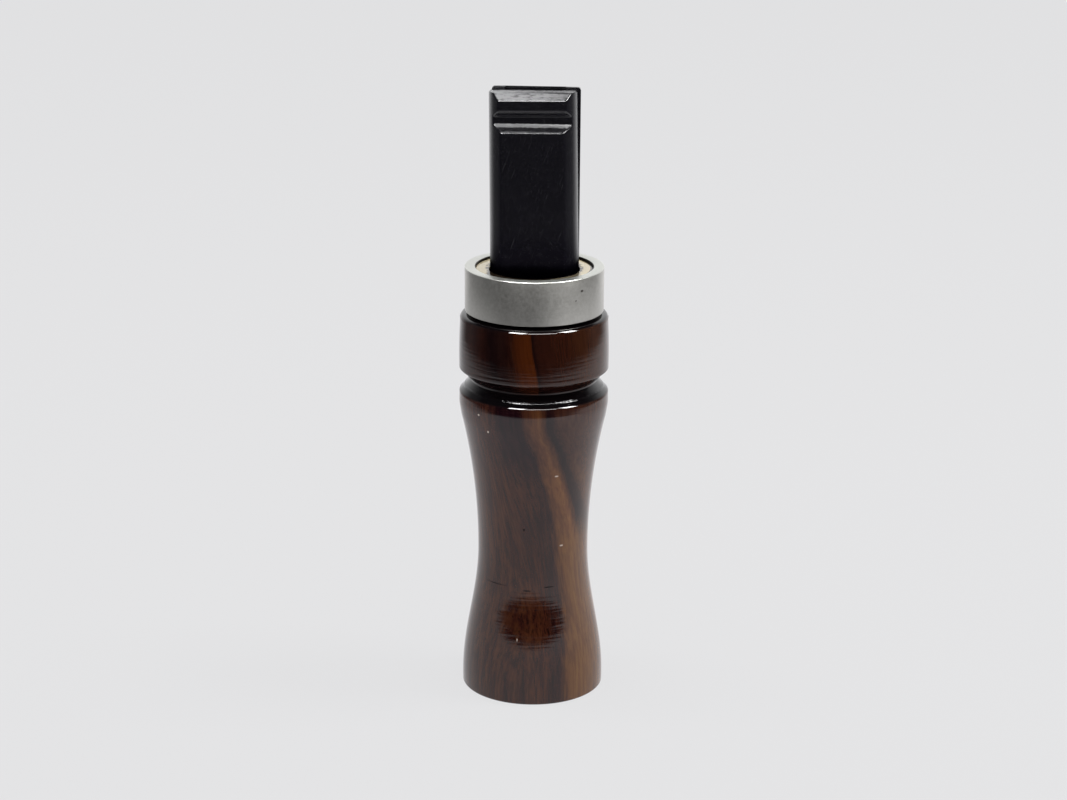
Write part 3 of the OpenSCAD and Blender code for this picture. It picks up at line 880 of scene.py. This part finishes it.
# The bevel's two ends: how far up from its low edge or from the tip, and how far in from the face.
BEVEL_START, BEVEL_END = [(-0.25, 0), (-0.08, 0.02), (0.1, 0.1)], [(-0.06, 0.02), (0, 0.13)]


def stem_stations():
    """Stations of the stem: height, radius and roundness."""
    stations = [(STEM_END + up, STEM_R - inward, 1) for up, inward in STEM_ROUND]
    lip = [(RING_GROOVE_HALF + GROOVE_CUT, STEM_R), (RING_GROOVE_HALF, STEM_R - GROOVE_CUT),
           (RING_GROOVE_HALF - STEP, RING_GROOVE_R)]
    for middle in sorted(RING_MIDDLES.values()):
        stations += [(middle - reach, radius, 1) for reach, radius in lip]
        stations += [(middle + reach, radius, 1) for reach, radius in reversed(lip)]
    return stations + [(BLADE_Z - STEP, STEM_R, 1), (BLADE_Z, STEM_R, 0)]


def side_view(top, top_y, bevel_low):
    """Stations from the stem's end to the tip: height, radius, distance to the flat, roundness."""
    outline = [(z, FLAT_Y) for z in FLAT_HEIGHTS]
    outline += [(z, y) for y, z in s_curve((FLAT_Y, LEDGE_LOW), (DIP_Y, DIP_LOW), 14)]
    outline += [(z, y) for y, z in s_curve((DIP_Y, DIP_TOP), (LAND_Y, LAND_LOW), 12)]
    outline += [(bevel_low + up, LAND_Y - inward) for up, inward in BEVEL_START]
    outline += [(bevel_low + (top - bevel_low) * t, LAND_Y + (top_y - LAND_Y) * t)
                for t in (0.25, 0.5, 0.75, 0.9)]
    outline += [(top + up, top_y - inward) for up, inward in BEVEL_END]
    return ([(z, radius, FLAT_Y, roundness) for z, radius, roundness in stem_stations()]
            + [(z, STEM_R, y, 0) for z, y in outline])


print("stations of the front half:", len(side_view(FRONT_TOP, FRONT_TIP_Y, FRONT_BEVEL)))

# %% Push the section from station to station
def half(top, top_y, bevel_low, lean):
    bm = bmesh.new()
    face = None
    for z, radius, flat, roundness in side_view(top, top_y, bevel_low):
        drop = max(0.0, z - (top - TIP_ROUND))
        radius -= SIDE_DRAFT * max(0.0, z - BLADE_Z) / (top - BLADE_Z)
        width = radius + SIDE_ROOM - TIP_ROUND + math.sqrt(TIP_ROUND ** 2 - min(drop, TIP_ROUND) ** 2)
        points = section(z, radius, flat, width, roundness, lean)
        if face is None:
            face = bmesh.ops.contextual_create(bm, geom=[bm.verts.new(p) for p in points])["faces"][0]
            continue
        pushed = bmesh.ops.extrude_face_region(bm, geom=[face])
        face = next(g for g in pushed["geom"] if isinstance(g, bmesh.types.BMFace))
        for vert, point in zip(face.verts, points):
            vert.co = point
    open_edges = [e for e in bm.edges if e.is_boundary]
    if open_edges:
        bmesh.ops.contextual_create(bm, geom=open_edges)
    return bm


front = half(FRONT_TOP, FRONT_TIP_Y, FRONT_BEVEL, FRONT_LEAN)
rear = half(FRONT_TOP + REAR_RISE, REAR_TIP_Y, REAR_BEVEL, REAR_LEAN)
for name, bm in (("front", front), ("rear", rear)):
    print(name, "half: open edges", sum(e.is_boundary for e in bm.edges), "points", len(bm.verts))

# %% Add the pegs and hand the halves over
PEG_R, PEG_TIP_R, PEG_LONG, PEG_MIDDLE_Y = 0.7, 0.6, 2.3, 0.1
PEG_PLACES = [(-5.1, 74.8), (5.1, 74.8), (-7.9625, 117.76), (7.9625, 117.76)]


def add_pegs(bm):
    """Round pegs, a little narrower at the end, that stand out of the joint."""
    for x, z in PEG_PLACES:
        place = Matrix.Translation((x, PEG_MIDDLE_Y, z)) @ Matrix.Rotation(math.pi / 2, 4, "X")
        bmesh.ops.create_cone(bm, cap_ends=True, segments=24, radius1=PEG_R, radius2=PEG_TIP_R,
                              depth=PEG_LONG, matrix=place)


bmesh.ops.rotate(front, cent=(0, 0, 0), matrix=Matrix.Rotation(math.pi, 3, "Z"), verts=front.verts)
add_pegs(front)
finish_piece("front_half_moulded", front, plastic, "mouthpiece", "front_half")
finish_piece("rear_half_moulded", rear, plastic, "mouthpiece", "rear_half")

# %% [markdown]
# ## The reed and the rubber rings
#
# The reed is a thin tongue of smoky plastic film. Its CAD plate already has the right shape, so it keeps
# that and only gets a finish. The two rubber rings are turned again here, because a spin makes them
# rounder than the CAD mesh.

# %% Reed film and rubber
def film():
    finish, tree, shader = new_finish("smoky_film")
    lines = drawn(tree, *apart(tree, place_mm(tree)), 0.3, 0.03, 3.0, 0.5)
    feed(tree, shader, {
        "Base Color": tint(tree, lines, (0.012, 0.012, 0.015), (0.03, 0.03, 0.036)),
        "Roughness": span(tree, lines, 0.3, 0.7, 0.22, 0.38),
        "Normal": relief(tree, lines, 0.004),
    })
    return finish


def rubber():
    finish, tree, shader = new_finish("seal_rubber")
    dust = cloud(tree, place_mm(tree), 0.5, 4.0)
    feed(tree, shader, {
        "Base Color": tint(tree, span(tree, dust, 0.45, 0.75), (0.006, 0.006, 0.006), (0.022, 0.021, 0.019)),
        "Roughness": span(tree, dust, 0.3, 0.7, 0.45, 0.65),
        "Normal": relief(tree, dust, 0.01),
    })
    return finish


smoky, black_rubber = film(), rubber()
reed_object = next(o for o in bpy.data.objects if o.type == "MESH" and o.name.startswith("reed"))
for spot in reed_object.material_slots:
    spot.material = smoky
print("reed finish on", reed_object.name)

# %% Turn the rubber rings
RING_MID_R, RING_R = 8.745, 0.8

for name, height in RING_MIDDLES.items():
    round_section = arc(RING_MID_R, height, RING_R, 0, 345, 23)
    ring = turned(round_section, 128)
    finish_piece(name + "_turned", ring, black_rubber, "sealing_rings", name)

# %% [markdown]
# ## Handing over
#
# The dressed call has to be as big as the CAD model.

# %% The end
print("scene dressed")
